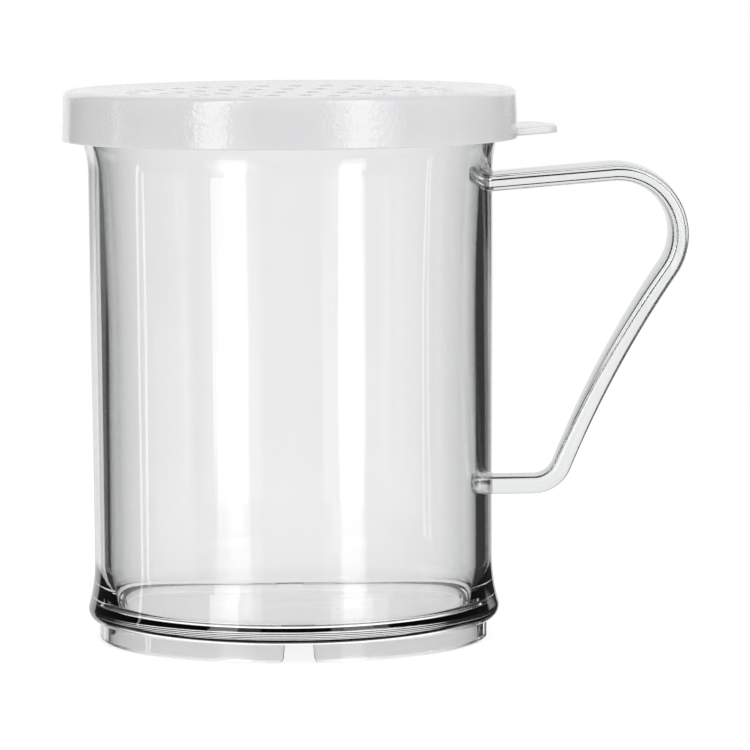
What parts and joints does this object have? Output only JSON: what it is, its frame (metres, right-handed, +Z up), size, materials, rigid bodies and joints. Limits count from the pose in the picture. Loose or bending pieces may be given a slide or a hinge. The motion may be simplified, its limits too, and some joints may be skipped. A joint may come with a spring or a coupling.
{
  "type": "handled spice shaker",
  "caption": "Clear jar with a strap handle and a notched foot ring, closed by a press-on lid with a dished perforated top and a lift tab.",
  "frame": {"origin": "centre of the foot ring, on the surface the jar stands on", "axes": "+Z up the jar's axis, +X towards the handle, +Y completing a right-handed frame"},
  "size_m": [0.1117, 0.0814, 0.0984],
  "materials": {
    "clear_polycarbonate": "clear, polished mould",
    "translucent_polyethylene": "milky translucent, satin"
  },
  "bodies": {
    "jar": {"jar": "clear_polycarbonate", "handle": "clear_polycarbonate"},
    "lid": {"lid": "translucent_polyethylene"}
  },
  "joints": [
    {"name": "lid_lift", "type": "slide", "parent": "jar", "child": "lid", "axis": [0, 0, 1], "range_m": [0, 0.035]}
  ]
}
